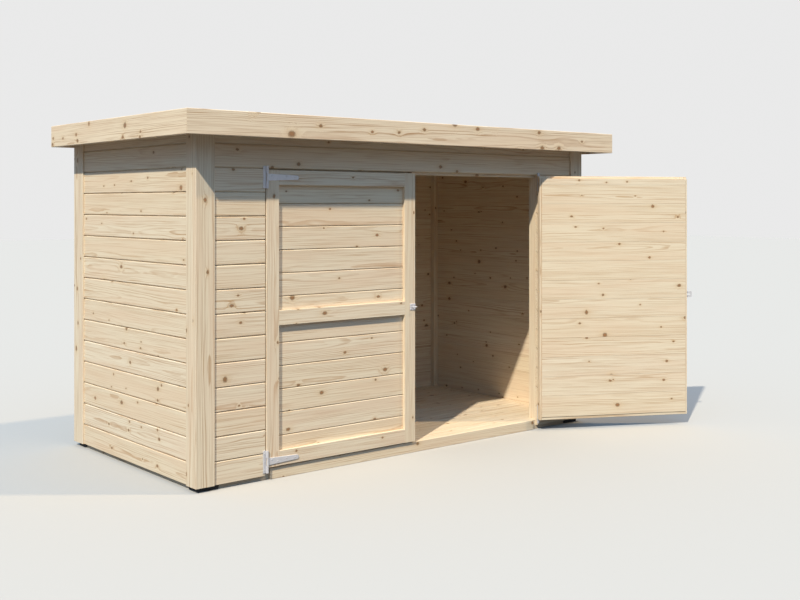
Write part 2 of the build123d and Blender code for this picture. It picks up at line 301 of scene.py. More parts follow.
def spruce(
    name, pale=(0.825, 0.72, 0.56), deep=(0.47, 0.28, 0.14), ring=0.0027, knots=0.42, girth=1.0
):
    """Planed spruce: growth rings round the pith, fine fibres, and knots that bend the rings.

    Ring is the width of a year's growth, knots the share of places that have one, and girth
    how stout they are.
    """
    knot_step = 0.15
    knot_turn = 0.75
    material, shader, start = new_material(name)
    log = start.node("ShaderNodeAttribute", {"attribute_name": GRAIN}, output="Vector")
    tone = start.node("ShaderNodeAttribute", {"attribute_name": TONE}, output="Fac")
    x = start.node("ShaderNodeSeparateXYZ", inputs={0: log})
    y, z = x.other(1), x.other(2)
    radius = (y * y + z * z).root()
    angle = start.maths("ARCTAN2", y, z)

    def figure(lengthwise, crosswise, detail=2.0, roughness=0.5):
        """Noise drawn out along the grain, by its counts per metre each way."""
        place = start.vector(x * lengthwise, y * crosswise, z * crosswise)
        return start.noise(place, 1, detail, roughness)

    cells = start.node(
        "ShaderNodeTexVoronoi", {"voronoi_dimensions": "2D"},
        {"Vector": start.vector(x / knot_step, angle / knot_turn, 0), "Scale": 1}, "Position",
    )
    chance = start.node("ShaderNodeSeparateColor", inputs={0: cells.other("Color")})
    stout = chance.other(1)
    centre = start.node("ShaderNodeSeparateXYZ", inputs={0: cells})
    present = chance > 1 - knots
    size = girth * (0.0022 + radius * (0.010 + 0.050 * stout * stout))
    along = (x - centre * knot_step) / size
    around = (angle - centre.other(1) * knot_turn) * radius / size
    ragged = 0.6 + 0.8 * figure(160, 160, 1)
    away = (along * along * 0.5 + around * around).root() * ragged
    knot = present * (1 - away.eased(0.55, 1.2))
    rim = present * away.eased(0.35, 0.9) * (1 - away.eased(0.95, 1.5))
    halo = present * math.e ** (-0.16 * away * away)
    smear = present * math.e ** (-0.7 * around * around - 0.30 * start.maths("ABSOLUTE", along))

    sway = figure(1.1, 7)
    ripple = figure(6, 40)
    years = start.noise(start.vector(0, radius * 24, 0), 1, 1)
    waver = (sway - 0.5) * 0.018 + (ripple - 0.5) * 0.0028 + years * 0.02
    bent = radius + waver + halo * size * 0.5
    turn = (bent / ring).fraction()
    late = turn.eased(0.52, 0.88) - turn.eased(0.92, 1.0)
    vigour = start.noise(start.vector(x * 0.7, bent * 110, 0), 1)

    fibre = figure(8, 420, 3, 0.6)
    streak = figure(3.0, 210, 3, 0.6)
    vessel = figure(3.5, 270).eased(0.46, 0.70)
    cloud = figure(1.6, 14).eased(0.40, 0.72)

    rings = late * (0.16 + 0.52 * vigour.eased(0.36, 0.66))
    grain = rings + (streak - 0.5) * 1.15 + vessel * 0.42 + (fibre - 0.5) * 0.40
    wood = grain.blend(pale, deep)
    pink = (cloud * 0.45).blend(wood, (0.77, 0.58, 0.42))
    warm = ((tone - 0.1) * 0.26).blend(pink, (0.76, 0.60, 0.385))
    gold = (halo * 0.35).blend(warm, (0.74, 0.53, 0.29))
    trail = (smear * 0.42).blend(gold, (0.46, 0.28, 0.14))
    heart = chance.other(2).blend((0.22, 0.11, 0.035), (0.32, 0.135, 0.045))
    knotted = (knot * 0.88).blend(trail, heart)
    ringed = (rim * 0.5).blend(knotted, (0.13, 0.065, 0.028))
    roughness = 0.62 + (fibre - 0.5) * 0.12 - knot * 0.12
    relief = late * 0.35 + fibre * 0.5 + knot * 0.6
    surface(start, shader, ringed, roughness, relief, 0.35, 0.0004)
    return material


left, right = Vector((-1, 0, 0)), Vector((1, 0, 0))
front, back = Vector((0, -1, 0)), Vector((0, 1, 0))
up, down = Vector((0, 0, 1)), Vector((0, 0, -1))

threshold_low, sill_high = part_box("front_sill")
back_sill_low, back_sill_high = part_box("back_sill")
sill_width = back_sill_high[1] - back_sill_low[1]
sill_height = sill_high[2]
pad_height = pads_high[2]
ground_end = pads_high[0] - pad_length
side_ground_end = pads_high[1] - pad_width
threshold_x = 0.786
wall_x = sill_high[0]
wall_y = back_sill_high[1]
side_half = -sill_high[1]


def notched_sill(place, half, free_half):
    """A sill on edge: its full depth between the pads and a thinner end over each pad."""
    thin = squared(sill_height - pad_height, sill_width, low=pad_height)
    return [
        timber(place, squared(sill_height, sill_width), -free_half, free_half),
        timber(place, thin, -half, -free_half),
        timber(place, thin, free_half, half),
    ]


floor_timber = spruce("floor_timber")
front_timbers = notched_sill(lay((0, -wall_y, 0), right, front), wall_x, ground_end)
threshold_place = lay((0, threshold_low[1], 0), right, front)
threshold_section = squared(sill_height, -wall_y - threshold_low[1], plain_arris)
front_timbers.append(timber(threshold_place, threshold_section, -threshold_x, threshold_x))
back_timbers = notched_sill(lay((0, wall_y, 0), left, back), wall_x, ground_end)
side_timbers = notched_sill(lay((-wall_x, 0, 0), front, left), side_half, side_ground_end)
side_timbers += notched_sill(lay((wall_x, 0, 0), back, right), side_half, side_ground_end)
for name, timbers, node in (
    ("front_sill_timber", front_timbers, "front_sill"),
    ("back_sill_timber", back_timbers, "back_sill"),
    ("side_sill_timbers", side_timbers, "side_sills"),
):
    piece_of(name, sawn(timbers), floor_timber, node)


def spread(low, high, width, count):
    """Where like timbers of one width start when they fill a length evenly."""
    return [low + (high - low - width) * index / (count - 1) for index in range(count)]


joist_low, joist_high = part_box("floor_joists")
joist_width = 0.045
joist_count = 5
joist_section = squared(joist_width, joist_high[2])
joist_timbers = []
for x in spread(joist_low[0], joist_high[0], joist_width, joist_count):
    place = lay((x + joist_width, 0, joist_high[2]), back, up)
    joist_timbers.append(timber(place, joist_section, joist_low[1], joist_high[1]))
joist_mesh = sawn(joist_timbers)
piece_of("floor_joist_timbers", joist_mesh, floor_timber, "floor_joists")


# Floor boards
# Planed spruce boards laid lengthwise over the joists between the sills, with eased edges that
# leave a fine dark line at each joint.
board_pitch = 0.0975
narrowest_board = 0.01
floor_low, floor_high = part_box("floor_deck")
floor_thickness = floor_high[2] - floor_low[2]
floor_joint = 0.0009
boards = []
edge = floor_high[1]
while edge > floor_low[1] + narrowest_board:
    width = min(board_pitch, edge - floor_low[1])
    section = squared(width - floor_joint, floor_thickness, plain_arris, floor_joint / 2)
    place = lay((0, edge, floor_high[2]), left, up)
    boards.append(timber(place, section, -floor_high[0], floor_high[0]))
    edge -= board_pitch
floor_boards = spruce("floor_boards")
piece_of("floor_board_timbers", sawn(boards), floor_boards, "floor_deck")


# Studs, plates and lintel
# Planed spruce studs stand on the sills at the corners, at the door jambs and in the back wall.
# Sloping plates lie on them, and a lintel spans the doorway behind the header boards.
roof_low, roof_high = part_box("roof_deck")
deck_front = roof_low[1]
deck_back = roof_high[1]
deck_thickness = 0.016
rafter_height = 0.045
roof_fall = (roof_high[2] - roof_low[2] - deck_thickness) / (deck_back - deck_front)


def deck_underside(y):
    return roof_high[2] - deck_thickness - (y - deck_front) * roof_fall


def joist_underside(y):
    return deck_underside(y) - rafter_height


stud_timber = spruce("stud_timber", knots=0.38)
post_size = 0.030
stud_width = 0.044
plate_height = 0.045


def plate_underside(y_front):
    return joist_underside(y_front) - plate_height


def stud(x, y, width, depth, top):
    """An upright on a sill, its good face to the front."""
    place = lay((x, y, sill_height), up, front)
    return timber(place, squared(width, depth, plain_arris, -width), 0, top - sill_height)


def wall_plate(y_outer, out):
    """A plate whose top is planed to the roof's fall; the good face looks out."""
    place = lay((0, y_outer, 0), out.cross(up) * -1, out)
    y_inner = y_outer - out.y * post_size
    low = plate_underside(min(y_outer, y_inner))
    section = [
        (low, 0), (joist_underside(y_outer), 0),
        (joist_underside(y_inner), -post_size), (low, -post_size),
    ]
    return timber(place, section, -wall_x, wall_x)


front_top = plate_underside(-wall_y)
back_top = plate_underside(wall_y - post_size)
posts = []
for x in (-wall_x, wall_x - post_size):
    posts.append(stud(x, -wall_y, post_size, post_size, front_top))
    posts.append(stud(x, wall_y - post_size, post_size, post_size, back_top))

jamb_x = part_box("jamb_studs")[1][0] - stud_width
jambs = [
    stud(x, -wall_y, stud_width, stud_width, front_top) for x in (-jamb_x - stud_width, jamb_x)
]

rear_low, rear_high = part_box("back_wall_studs")
rear = [
    stud(x, wall_y - post_size, stud_width, post_size, back_top)
    for x in (rear_low[0], rear_high[0] - stud_width)
]

lintel_low, lintel_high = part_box("door_lintel")
lintel_place = lay((0, -wall_y, lintel_low[2]), right, front)
lintel_section = squared(lintel_high[2] - lintel_low[2], post_size, plain_arris)
lintel = timber(lintel_place, lintel_section, -jamb_x, jamb_x)

for name, timbers, node in (
    ("corner_post_timbers", posts, "corner_posts"),
    ("jamb_stud_timbers", jambs, "jamb_studs"),
    ("back_stud_timbers", rear, "back_wall_studs"),
    ("door_lintel_timber", [lintel], "door_lintel"),
    ("front_plate_timber", [wall_plate(-wall_y, front)], "front_plate"),
    ("back_plate_timber", [wall_plate(wall_y, back)], "back_plate"),
):
    piece_of(name, sawn(timbers), stud_timber, node)


# Wall boards
# Tongued and grooved spruce boards nailed to the studs, with a V at each joint on the outer face.
# The bottom board drips clear of the pads and the top one is cut to the roof's fall.
board_thickness = 0.018
joint_gap = 0.0031
joint_bevel = 0.0028
cut_bevel = 0.001
inner_gap = 0.0006
tongue_reach = 0.0055
tongue_out, tongue_in = -0.007, -0.012
groove_slip = 0.0003
least_width = 0.02


def matched_board(low, high, thickness, gap, cut_low, cut_high):
    """Section of a board as (across, out) points: groove below, tongue above, V on the face."""
    foot = low if cut_low else low + gap / 2
    head = high if cut_high else high - gap / 2
    inner_foot = low if cut_low else low + inner_gap / 2
    inner_head = high if cut_high else high - inner_gap / 2
    groove = foot if cut_low else foot + tongue_reach + groove_slip
    tongue = head if cut_high else head + tongue_reach
    bevel_low = cut_bevel if cut_low else joint_bevel
    bevel_high = cut_bevel if cut_high else joint_bevel
    groove_in, groove_out = tongue_in - groove_slip, tongue_out + groove_slip
    return [
        (inner_foot, -thickness), (inner_foot, groove_in), (groove, groove_in),
        (groove, groove_out), (foot, groove_out), (foot, -bevel_low), (foot + bevel_low, 0),
        (head - bevel_high, 0), (head, -bevel_high), (head, tongue_out), (tongue, tongue_out),
        (tongue, tongue_in), (inner_head, tongue_in), (inner_head, -thickness),
    ]


def boarding(
    place, joints, bottom, top, start, end,
    far_top=None, cut=(True, True), thickness=board_thickness, gap=joint_gap,
):
    """The boards of a panel; its lowest and topmost edges are cut, or run on as joints."""
    between = [joint for joint in joints if bottom + least_width < joint < top - least_width]
    levels = [bottom] + between + [top]
    boards = []
    for low, high in zip(levels, levels[1:]):
        make = (thickness, gap, cut[0] and low == bottom, cut[1] and high == top)
        near = matched_board(low, high, *make)
        slanted = far_top is not None and high == top
        far = matched_board(low, far_top, *make) if slanted else None
        boards.append(timber(place, near, start, end, far))
    return boards


wall_low, wall_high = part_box("front_left_cladding")
header_low, header_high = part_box("header_cladding")
side_low, side_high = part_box("left_wall_cladding")
wall_bottom = wall_low[2]
header_bottom = wall_high[2]
board_x = -side_low[0]
board_y = -wall_low[1]
rows_below_header = 16
rows_above = 3
wall_joints = [
    header_bottom + row * board_pitch for row in range(-rows_below_header, rows_above)
]

wall_boards = spruce("wall_boards", knots=0.37)
front_face = lay((0, -board_y, 0), right, front)
back_face = lay((0, board_y, 0), left, back)
left_face = lay((-board_x, 0, 0), front, left)
right_face = lay((board_x, 0, 0), back, right)
doorway = wall_high[0]
wall_end = header_high[0]
side_end = side_high[1]
header_top = joist_underside(-board_y + board_thickness)
back_top_edge = joist_underside(board_y)
high_edge, low_edge = deck_underside(-side_end), deck_underside(side_end)

for name, node, panel in (
    ("front_left_boards", "front_left_cladding", boarding(
        front_face, wall_joints, wall_bottom, header_bottom, wall_low[0], doorway,
        cut=(True, False))),
    ("front_right_boards", "front_right_cladding", boarding(
        front_face, wall_joints, wall_bottom, header_bottom, -doorway, -wall_low[0],
        cut=(True, False))),
    ("header_boards", "header_cladding", boarding(
        front_face, wall_joints, header_bottom, header_top, header_low[0], wall_end,
        cut=(False, True))),
    ("back_wall_boards", "back_wall_cladding", boarding(
        back_face, wall_joints, wall_bottom, back_top_edge, header_low[0], wall_end)),
    ("left_wall_boards", "left_wall_cladding", boarding(
        left_face, wall_joints, wall_bottom, low_edge, -side_end, side_end, high_edge)),
    ("right_wall_boards", "right_wall_cladding", boarding(
        right_face, wall_joints, wall_bottom, high_edge, -side_end, side_end, low_edge)),
):
    piece_of(name, sawn(panel), wall_boards, node)


# Corner trims
# Spruce trims close the corners. Each is rebated over the ends of the boards, so a thin lip shows
# against them, and the front ones cover the edges of those on the sides.
trim_timber = spruce("trim_timber", deep=(0.42, 0.24, 0.11), knots=0.3, ring=0.0036)
trim_proud = 0.007
trims_low, trims_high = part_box("front_trims")
trim_x = trims_high[0]
trim_y = -trims_low[1]
trim_depth = trim_y - wall_y
front_trim_width = 0.086
back_trim_width = 0.063
front_side_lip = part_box("front_side_trims")[1][1] + wall_y
back_side_lip = trim_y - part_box("back_side_trims")[0][1]


def rebated(wide, full):
    """L section as (across, out): full thickness for the first part and a thin lip beyond."""
    return [
        (plain_arris, 0), (wide - plain_arris, 0), (wide, -plain_arris), (wide, -trim_proud),
        (full, -trim_proud), (full, -trim_depth), (0, -trim_depth), (0, -plain_arris),
    ]


def flipped(section):
    """The same section with its width the other way."""
    return [(-across, out) for across, out in reversed(section)]


def upright_trim(x, y, out, section, top_of):
    """A trim standing at a corner, its top planed to the roof's fall."""
    place = lay((x, y, wall_bottom), up, out)

    def height(across, outward):
        spot = place @ Vector((0, across, outward))
        return top_of(spot.y) - wall_bottom

    return timber(place, section, 0, height)


front_section = rebated(front_trim_width, trim_x - wall_end)
front_side_section = rebated(front_side_lip, wall_y - side_end)
back_side_section = rebated(back_side_lip, trim_y - side_end)
back_section = rebated(back_trim_width, wall_x - wall_end)
for name, x, y, outs, sections, top_of in (
    ("front_trim", trim_x, -trim_y, (front, front),
     (flipped(front_section), front_section), joist_underside),
    ("front_side_trim", trim_x, -wall_y, (left, right),
     (front_side_section, flipped(front_side_section)), deck_underside),
    ("back_side_trim", trim_x, trim_y, (left, right),
     (flipped(back_side_section), back_side_section), deck_underside),
    ("back_trim", wall_x, trim_y, (back, back),
     (back_section, flipped(back_section)), joist_underside),
):
    pair = [
        upright_trim(corner, y, out, section, top_of)
        for corner, out, section in zip((-x, x), outs, sections)
    ]
    piece_of(f"{name}_timbers", sawn(pair), trim_timber, f"{name}s")


# Roof joists and roof boards
# Planed joists run from front to back with a slight fall, and boards laid across them reach out
# past the side walls to carry the fascia. Their joints show from underneath.
roof_timber = spruce("roof_timber", pale=(0.79, 0.69, 0.53))
rafters_low, rafters_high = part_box("roof_joists")
rafter_width = 0.035
rafter_count = 4
deck_gap = 0.0008
deck_easing = 0.0025


def rafter_section(y):
    """Section of a roof joist where it passes y, as (across, out) points."""
    top, foot = -deck_underside(y), -joist_underside(y)
    return [(top, 0), (foot, 0), (foot, -rafter_width), (top, -rafter_width)]


rafters = []
for x in spread(rafters_low[0], rafters_high[0], rafter_width, rafter_count):
    near, far = rafter_section(deck_front), rafter_section(deck_back)
    rafters.append(timber(lay((x, 0, 0), back, left), near, deck_front, deck_back, far))
piece_of("roof_joist_timbers", sawn(rafters), roof_timber, "roof_joists")

deck_place = lay((0, 0, 0), left, down)
deck_boards = []
edge = deck_front
while edge < deck_back - narrowest_board:
    after = min(edge + board_pitch, deck_back)
    first_y, last_y = edge + deck_gap, after - deck_gap
    profile = (
        (first_y, deck_easing), (first_y + deck_easing, 0), (last_y - deck_easing, 0),
        (last_y, deck_easing), (last_y, deck_thickness), (first_y, deck_thickness),
    )
    section = [(y, -deck_underside(y) - rise) for y, rise in profile]
    deck_boards.append(timber(deck_place, section, -roof_high[0], roof_high[0]))
    edge = after
piece_of("roof_board_timbers", sawn(deck_boards), roof_timber, "roof_deck")


# Fascia
# Wide planed boards stand level round the front and the sides, mitred at the front corners and
# nailed to the ends of the joists and roof boards. A plainer board closes the low back edge.
fascia_timber = spruce(
    "fascia_timber", pale=(0.845, 0.72, 0.55), deep=(0.38, 0.20, 0.085),
    ring=0.0036, knots=0.46, girth=1.5,
)
fascia_arris = 0.002
fascia_low, fascia_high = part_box("front_fascia")
fascia_x, fascia_front, fascia_foot = fascia_high[0], fascia_low[1], fascia_low[2]
fascia_section = squared(fascia_high[2] - fascia_foot, fascia_high[1] - fascia_front, fascia_arris)
roof_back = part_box("left_fascia")[1][1]

for side, place, start, end in (
    ("front", lay((0, fascia_front, fascia_foot), right, front),
     lambda across, out: -fascia_x - out, lambda across, out: fascia_x + out),
    ("left", lay((-fascia_x, 0, fascia_foot), front, left),
     -roof_back, lambda across, out: -fascia_front + out),
    ("right", lay((fascia_x, 0, fascia_foot), back, right),
     lambda across, out: fascia_front - out, roof_back),
):
    board = sawn([timber(place, fascia_section, start, end)])
    piece_of(f"{side}_fascia_board", board, fascia_timber, f"{side}_fascia")

edge_low, edge_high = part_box("back_roof_board")
edge_place = lay((0, edge_high[1], 0), left, back)
edge_top = deck_underside(edge_high[1]) + deck_thickness
edge_timbers = []
for low, high, start, end in (
    (fascia_foot, edge_top, edge_low[0], edge_high[0]),
    (edge_low[2], fascia_foot, -wall_x, wall_x),
):
    section = squared(high - low, edge_high[1] - edge_low[1], plain_arris, low)
    edge_timbers.append(timber(edge_place, section, start, end))
edge_mesh = sawn(edge_timbers)
piece_of("back_edge_board", edge_mesh, fascia_timber, "back_roof_board")


# Roofing felt
# Dark mineral felt in three lapped strips, nailed down and dressed up behind the fascia.
def mineral_felt():
    grains, patches = 900, 5
    material, shader, start = new_material("mineral_felt")
    place = start.node("ShaderNodeTexCoord", output="Object")
    grit = start.node("ShaderNodeTexVoronoi", inputs={"Vector": place, "Scale": grains})
    shade = start.node("ShaderNodeSeparateColor", inputs={0: grit.other("Color")})
    tone = shade * 0.7 + start.noise(place, patches, 3) * 0.3
    dark = tone.blend((0.030, 0.032, 0.035), (0.105, 0.108, 0.112))
    surface(start, shader, dark, 0.82 + shade * 0.15, grit, 0.6, 0.0008)
    return material


def walls(shape, loops):
    """Faces between loops of points that follow one another."""
    for lower, upper in zip(loops, loops[1:]):
        for index, point in enumerate(lower):
            after = (index + 1) % len(lower)
            shape.faces.new((point, lower[after], upper[after], upper[index]))


felt_low, felt_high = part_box("roof_felt")
felt_strips = 3
felt_sheet = 0.0015
lap = 0.08
lap_rise = 0.0012
strip_depth = (felt_high[1] - felt_low[1]) / felt_strips
felt = bmesh.new()
for index in range(felt_strips):
    first_y = felt_low[1] + index * strip_depth
    last_y = min(first_y + strip_depth + (lap if index < felt_strips - 1 else 0), felt_high[1])
    top = felt_sheet + (lap_rise if index % 2 == 0 else 0)
    outline = (
        (felt_low[0], first_y), (felt_high[0], first_y),
        (felt_high[0], last_y), (felt_low[0], last_y),
    )
    under, over = (
        [felt.verts.new((x, y, deck_underside(y) + deck_thickness + rise)) for x, y in outline]
        for rise in (0, top)
    )
    walls(felt, (under, over))
    felt.faces.new(under[::-1])
    felt.faces.new(over)
piece_of("roof_felt_strips", mesh_of(felt, "felt"), mineral_felt(), "roof_felt")


# Door leaves
# Each leaf is a planed frame of two stiles and three rails with matched boards nailed behind it,
# and strips round the boards' edges fill the frame out to just short of their inner face.
# The right leaf is drawn shut, as the mirror of the left, and swung open on its hinge line.
joints = {joint["name"]: joint for joint in frame["joints"]}
hinge_x, hinge_y = joints["right_door_hinge"]["pos_m"][:2]
open_angle = -math.radians(joints["right_door_hinge"]["range_deg"][0])
hinge = Matrix.Translation((hinge_x, hinge_y, 0))
swing = hinge @ Matrix.Rotation(open_angle, 4, "Z") @ hinge.inverted()

stile_low, stile_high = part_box("left_door_hinge_stile")
lock_low, lock_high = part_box("left_door_lock_stile")
leaf_low, leaf_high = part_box("left_door_boards")
frame_thickness = stile_high[1] - stile_low[1]
frame_face = -stile_low[1]
frame_section = squared(stile_high[0] - stile_low[0], frame_thickness)
stile_foot = stile_low[2]
leaf_thickness = leaf_high[1] - leaf_low[1]
leaf_width = leaf_high[0] - leaf_low[0]
door_joint_low = 0.1735
door_joint_gap = 0.0018
door_joint_count = 12
door_pitch = 0.09645
door_joints = [door_joint_low + row * door_pitch for row in range(door_joint_count)]
door_timber = spruce("door_timber", knots=0.34)
door_boards = spruce("door_boards", knots=0.30)
hinge_strip = 0.011
strip_gap = 0.0006
strip_arris = 0.001
edge_depth = leaf_thickness - 0.003
lock_edge_depth = 0.0092
behind = Matrix.Translation((0, 0, -frame_thickness))


def leaf_place(side, along, x, z):
    """Where a piece of a leaf lies: on the left one, or on the right one as it stands open."""
    if side == "left":
        return lay((x, -frame_face, z), along, front)
    return swing @ lay((-x, -frame_face, z), along, front)


def leaf_piece(side, name, timbers, material, node):
    """A piece that turns with its leaf."""
    node, body = f"{side}_door_{node}", f"{side}_door"
    piece_of(f"{side}_{name}", sawn(timbers), material, node, body)


for side in ("left", "right"):
    on_left = side == "left"
    for name, low, high in (
        ("hinge_stile", stile_low, stile_high),
        ("lock_stile", lock_low, lock_high),
    ):
        place = leaf_place(side, up, high[0] if on_left else low[0], stile_foot)
        stile = timber(place, frame_section, 0, stile_high[2] - stile_foot)
        leaf_piece(side, f"{name}_timber", [stile], door_timber, name)
    for name in ("bottom_rail", "mid_rail", "top_rail"):
        low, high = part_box(f"left_door_{name}")
        place = leaf_place(side, right, low[0] if on_left else high[0], low[2])
        rail = timber(place, frame_section, 0, high[0] - low[0])
        leaf_piece(side, f"{name}_timber", [rail], door_timber, name)
    boards = boarding(
        leaf_place(side, right, leaf_low[0] if on_left else leaf_high[0], 0) @ behind,
        door_joints, leaf_low[2], leaf_high[2],
        hinge_strip if on_left else 0, leaf_width - (0 if on_left else hinge_strip),
        thickness=leaf_thickness, gap=door_joint_gap,
    )
    leaf_piece(side, "leaf_boards", boards, door_boards, "boards")

foot_height = leaf_low[2] - stile_foot - strip_gap
lock_strip = lock_high[0] - leaf_high[0] - strip_gap
foot_section = squared(foot_height, edge_depth, strip_arris)
for side in ("left", "right"):
    on_left = side == "left"
    strips = []
    for low_x, width, depth in (
        (leaf_low[0], hinge_strip - strip_gap, edge_depth),
        (lock_high[0] - lock_strip, lock_strip, lock_edge_depth),
    ):
        place = leaf_place(side, up, low_x + width if on_left else low_x, stile_foot) @ behind
        section = squared(width, depth, strip_arris)
        strips.append(timber(place, section, 0, leaf_high[2] - stile_foot))
    start = leaf_low[0] + hinge_strip if on_left else leaf_high[0]
    place = leaf_place(side, right, start, stile_foot) @ behind
    strips.append(timber(place, foot_section, 0, leaf_width - hinge_strip))
    leaf_piece(side, "leaf_edge_strips", strips, door_timber, "boards")


# Strap hinges
# Pressed steel, zinc plated. A wall plate is rolled into two knuckles round a riveted pin, and the
# strap turns between them: it tapers to a round end and is screwed flat to the frame of the leaf.
def zinc_plate():
    blooms, scratches = 60, 900
    material, shader, start = new_material("zinc_plate")
    place = start.node("ShaderNodeTexCoord", output="Object")
    bloom = start.noise(place, blooms, 3)
    tint = bloom.blend((0.56, 0.555, 0.59), (0.67, 0.665, 0.70))
    surface(start, shader, tint, 0.44 + bloom * 0.2, start.noise(place, scratches), 0.15, 0.0002)
    shader.inputs["Metallic"].default_value = 0.2
    shader.inputs["Specular IOR Level"].default_value = 0.25
    return material


def rim_of(shape, loop):
    return [shape.edges.get((point, loop[index - 1])) for index, point in enumerate(loop)]


def points_of(shape, place, points):
    """New points of a shape, given as they lie on its place."""
    return [shape.verts.new(place @ Vector(point)) for point in points]


def circle(radius, count):
    """Points of a circle as pairs."""
    angles = [math.tau * step / count for step in range(count)]
    return [(radius * math.cos(angle), radius * math.sin(angle)) for angle in angles]


def pressed(shape, place, outline, low, high, slot=None, edge=0.0005):
    """A plate between two heights over its place. Outline and slot give a rim for each inset."""
    rims = [[], []]
    for rim, inset in ((outline, edge), (slot, -edge)):
        if rim is None:
            continue
        loops = [
            points_of(shape, place, [(u, v, out) for u, v in rim(drawn)])
            for out, drawn in ((low, 0), (high - edge, 0), (high, inset))
        ]
        walls(shape, loops)
        rims[0] += rim_of(shape, loops[0])
        rims[1] += rim_of(shape, loops[-1])
    for edges in rims:
        bmesh.ops.triangle_fill(shape, edges=edges, use_beauty=True)


def turned(shape, place, profile, hollow=False):
    """A turned solid round an upright line of its place, from (radius, height) points."""
    loops = [
        points_of(shape, place, [(u, height, out) for u, out in circle(radius, 20)])
        for radius, height in profile
    ]
    walls(shape, loops + loops[:1] if hollow else loops)
    if not hollow:
        shape.faces.new(loops[0])
        shape.faces.new(loops[-1])


def rolled(shape, place, points, low, high):
    """A bent strip of sheet: its section as (along, out) points, between two heights."""
    loops = [
        points_of(shape, place, [(u, v, out) for u, out in points]) for v in (low, high)
    ]
    walls(shape, loops)
    for loop in loops:
        shape.faces.new(loop)


def screw(shape, place, u, v, height, turn):
    """The raised head of a cross-slotted screw on a plate, turned by some angle."""
    place = place @ Matrix.Translation((u, v, height)) @ Matrix.Rotation(turn, 4, "Z")
    arm, half = 0.0016, 0.00035
    crown, sunk = 0.0010, 0.0001
    head = ((0.0036, -0.0002), (0.0036, 0.0001), (0.0030, 0.0007), (0.0021, crown))
    corners = ((arm, -half), (arm, half), (half, half))
    cross = [
        (u * cosine - v * sine, u * sine + v * cosine)
        for cosine, sine in ((1, 0), (0, 1), (-1, 0), (0, -1)) for u, v in corners
    ]
    dome = [
        points_of(shape, place, [(u, v, out) for u, v in circle(radius, 16)])
        for radius, out in head
    ]
    recess = [
        points_of(shape, place, [(u, v, out) for u, v in cross]) for out in (crown, sunk)
    ]
    walls(shape, dome)
    walls(shape, recess)
    edges = rim_of(shape, dome[-1]) + rim_of(shape, recess[0])
    bmesh.ops.triangle_fill(shape, edges=edges, use_beauty=True)
    shape.faces.new(dome[0])
    shape.faces.new(recess[1])


def plate_rim(u, v, radius=0.001):
    """The rim of a plate between two limits each way, with round corners, for any inset."""
    def rim(inset):
        points = []
        bend = max(radius - inset, 0.0002)
        for corner, (toward_u, toward_v) in enumerate(((1, 1), (0, 1), (0, 0), (1, 0))):
            centre_u = u[toward_u] + (inset + bend) * (1 - 2 * toward_u)
            centre_v = v[toward_v] + (inset + bend) * (1 - 2 * toward_v)
            for step in range(5):
                a = math.radians(90 * corner + 22.5 * step)
                points.append((centre_u + bend * math.cos(a), centre_v + bend * math.sin(a)))
        return points
    return rim


def finished(shape):
    """The mesh of a shape with smooth curves and crisp edges."""
    crease = math.radians(32)
    bmesh.ops.recalc_face_normals(shape, faces=shape.faces)
    mesh = mesh_of(shape, "steel")
    mesh.polygons.foreach_set("use_smooth", [True] * len(mesh.polygons))
    mesh.set_sharp_from_angle(angle=crease)
    return mesh


zinc = zinc_plate()
steel = 0.003
barrel_radius = 0.004
pin_radius = 0.002
pin_bore = 0.00205
knuckle_gap = 0.0005
axis_out = -hinge_y - frame_face
wall_axis_out = -hinge_y - board_y
plates_low, plates_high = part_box("hinge_plates")
plate_half = 0.046
plate_width = 0.015
plate_tuck = 0.0005
knuckle_half = 0.0155
strap_root, strap_tip = 0.030, 0.019
strap_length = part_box("left_hinge_straps")[1][0] + hinge_x
strap_edge = 0.0008
hinge_levels = (plates_low[2] + plate_half, plates_high[2] - plate_half)
plate_screws = (-0.034, 0, 0.034)
plate_screw_in = 0.009
strap_screws = ((0.022, 0.006), (0.050, -0.005), (0.094, 0.003), (0.138, 0))


def barrel(shape, place, low, high):
    """A knuckle between two heights, open for the pin, with softened rims."""
    soft = 0.0004
    section = (
        (pin_bore, low), (barrel_radius - soft, low), (barrel_radius, low + soft),
        (barrel_radius, high - soft), (barrel_radius - soft, high), (pin_bore, high),
    )
    turned(shape, place, section, hollow=True)


def knuckles(shape, place, axis, bend, low, high):
    """The two outer knuckles of a hinge with the bends that lead into them."""
    for start, end in ((-high, -low - knuckle_gap), (low + knuckle_gap, high)):
        rolled(shape, place, bend, start, end)
        barrel(shape, axis, start, end)


def riveted_pin(shape, place, half, head=0.0007):
    """A pin through the knuckles with a flattened head at each end."""
    crown, spread_to = 0.0019, 0.0031
    end = (
        (crown, half + head), (spread_to, half + head * 0.4), (spread_to, half),
        (pin_radius, half),
    )
    turned(shape, place, [(r, -z) for r, z in end] + [(r, z) for r, z in reversed(end)])


def strap_rim(inset):
    """The tapering rim of a strap from its knuckle to its round end."""
    centre = strap_length - strap_tip / 2
    root, tip = strap_root / 2 - inset, strap_tip / 2 - inset
    arc = [math.radians(-90 + 15 * step) for step in range(13)]
    nose = [(centre + tip * math.cos(a), tip * math.sin(a)) for a in arc]
    return [(0, root), (0, -root)] + nose


